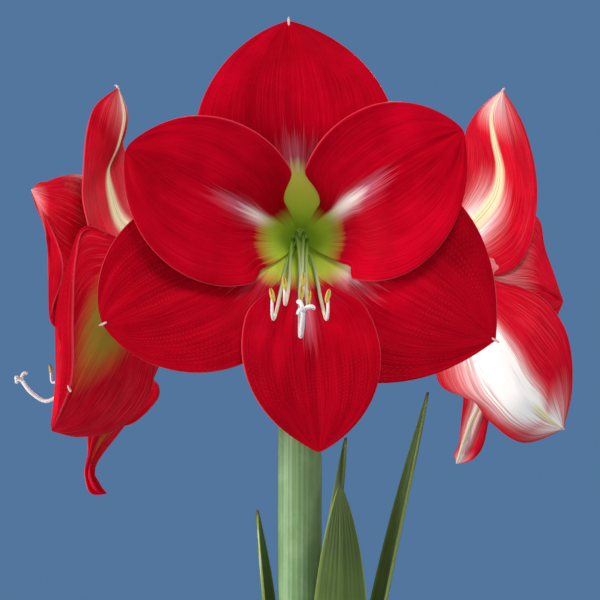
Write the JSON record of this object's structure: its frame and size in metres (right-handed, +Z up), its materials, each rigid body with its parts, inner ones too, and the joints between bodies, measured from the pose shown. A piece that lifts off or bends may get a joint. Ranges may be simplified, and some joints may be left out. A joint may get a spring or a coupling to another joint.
{
  "type": "potted amaryllis",
  "caption": "Flowering amaryllis bulb in a round clay pot: strap leaves and a thick stalk that ends in a ring of wide open trumpet blooms.",
  "frame": {"origin": "centre of the pot's flat underside", "axes": "+Z up; -Y is the side that the front bloom faces"},
  "size_m": [0.3332, 0.318, 0.6949],
  "materials": {
    "clay": "matte",
    "earth": "rough",
    "bulb_skin": "papery",
    "stem": "satin",
    "leaf": "satin",
    "husk": "papery",
    "flower_stem": "satin",
    "petal": "velvety",
    "filament": "satin",
    "style": "satin"
  },
  "bodies": {
    "root": {"pot": "clay", "soil": "earth", "bulb": "bulb_skin", "stalk": "stem", "leaf_left": "leaf", "leaf_back": "leaf", "leaf_broad": "leaf", "leaf_right": "leaf", "bract_front": "husk", "bract_back": "husk", "front_pedicel": "flower_stem", "front_perianth": "petal", "front_stamens": "filament", "front_style": "style", "left_pedicel": "flower_stem", "left_perianth": "petal", "left_stamens": "filament", "left_style": "style", "right_pedicel": "flower_stem", "right_perianth": "petal", "right_stamens": "filament", "right_style": "style"}
  },
  "joints": []
}
